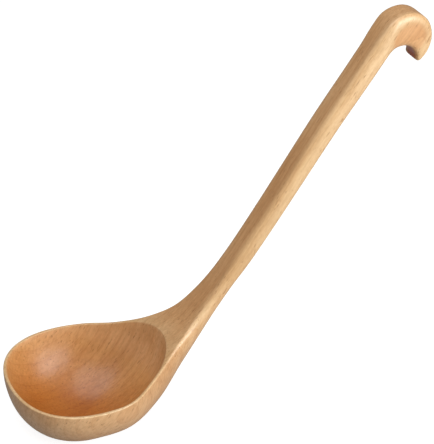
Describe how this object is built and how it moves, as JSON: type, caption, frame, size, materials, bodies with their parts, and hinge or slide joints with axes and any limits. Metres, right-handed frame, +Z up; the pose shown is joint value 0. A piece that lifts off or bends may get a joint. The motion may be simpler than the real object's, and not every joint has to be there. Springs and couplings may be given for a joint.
{
  "type": "soup ladle",
  "caption": "Wooden soup ladle carved in one piece: a thin-lipped round bowl, a flared neck, a straight rounded handle and a hooked end that hangs over a pot's rim.",
  "frame": {"origin": "lowest point of the bowl, under its widest place, with the bowl's rim level", "axes": "+X from the bowl's nose towards the hook, +Y across the ladle, +Z up, square to the plane of the rim"},
  "size_m": [0.249, 0.084, 0.2305],
  "materials": {
    "wood": "satin varnish over pale beech-like wood"
  },
  "bodies": {
    "root": {"ladle": "wood"}
  },
  "joints": []
}
